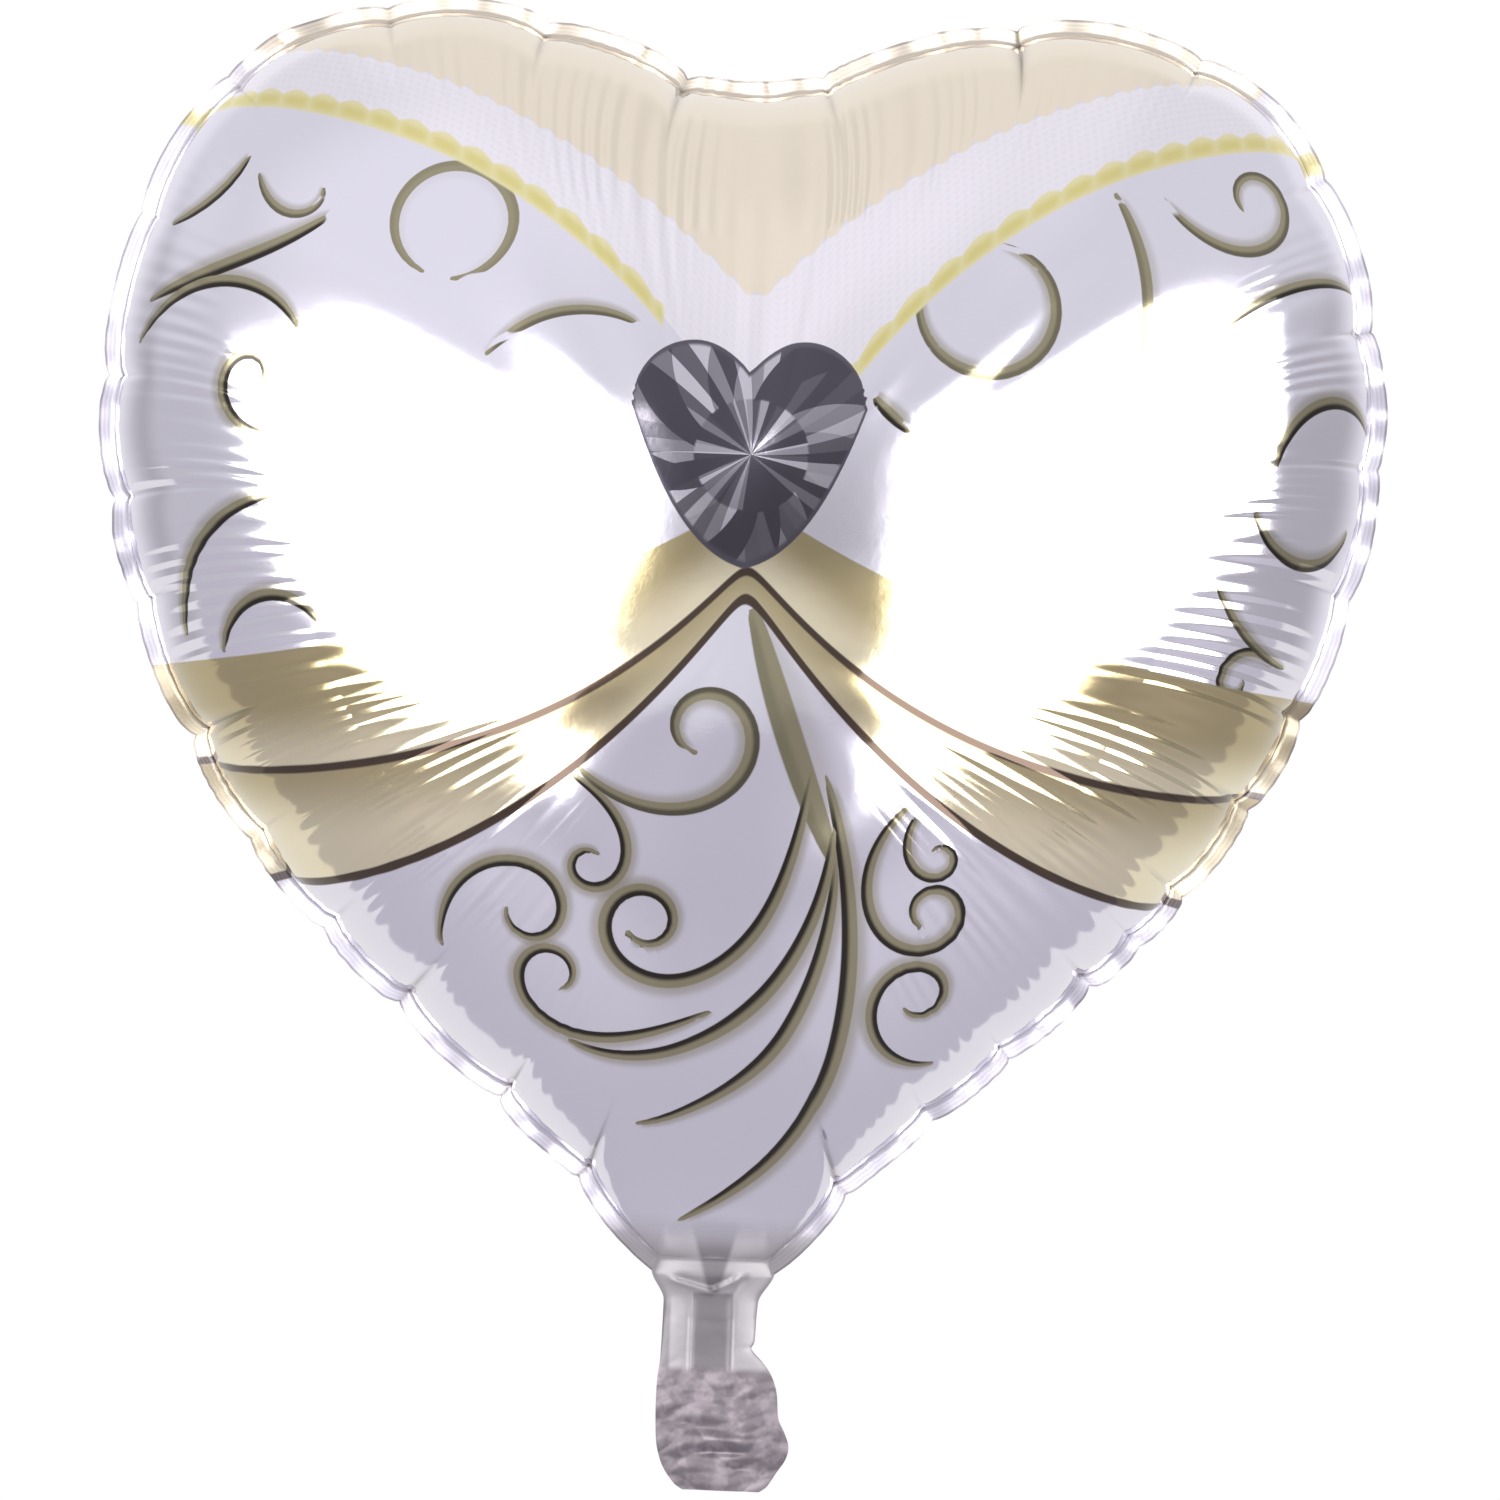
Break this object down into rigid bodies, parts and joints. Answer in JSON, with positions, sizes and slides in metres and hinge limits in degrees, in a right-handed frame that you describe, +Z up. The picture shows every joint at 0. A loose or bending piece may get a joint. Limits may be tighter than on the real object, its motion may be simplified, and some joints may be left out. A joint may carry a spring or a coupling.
{
  "type": "heart-shaped foil balloon",
  "caption": "Inflated heart-shaped foil balloon with lace, sash and scroll print on both sides, a flat heat-sealed edge, and a creased tail that holds its flat filling valve.",
  "frame": {"origin": "on the neck between the heart and the tail, midway between the front and back films, where a ribbon is tied", "axes": "+Z up along the heart's centre line from the tail to the cleft, the front faces -Y, and +X is to the right seen from the front"},
  "size_m": [0.3842, 0.168, 0.4426],
  "materials": {
    "printed_foil": "glossy translucent print over vacuum-metallised film",
    "silver_foil": "bare metallised plastic film, crinkled",
    "valve_film": "clear polyethylene film"
  },
  "bodies": {
    "envelope": {"front_panel": "printed_foil", "back_panel": "printed_foil", "front_valve_film": "valve_film", "back_valve_film": "valve_film"},
    "tail": {"front_tail_ply": "silver_foil", "back_tail_ply": "silver_foil", "front_tail_valve_film": "valve_film", "back_tail_valve_film": "valve_film"},
    "tail_end": {"front_end_ply": "silver_foil", "back_end_ply": "silver_foil", "front_end_valve_film": "valve_film", "back_end_valve_film": "valve_film"}
  },
  "joints": [
    {"name": "neck_crease", "type": "hinge", "parent": "envelope", "child": "tail", "pos_m": [0, 0, -0.005], "axis": [1, 0, 0], "range_deg": [-80, 80]},
    {"name": "end_crease", "type": "hinge", "parent": "tail", "child": "tail_end", "pos_m": [0, 0, -0.026], "axis": [1, 0, 0], "range_deg": [-60, 60]}
  ]
}
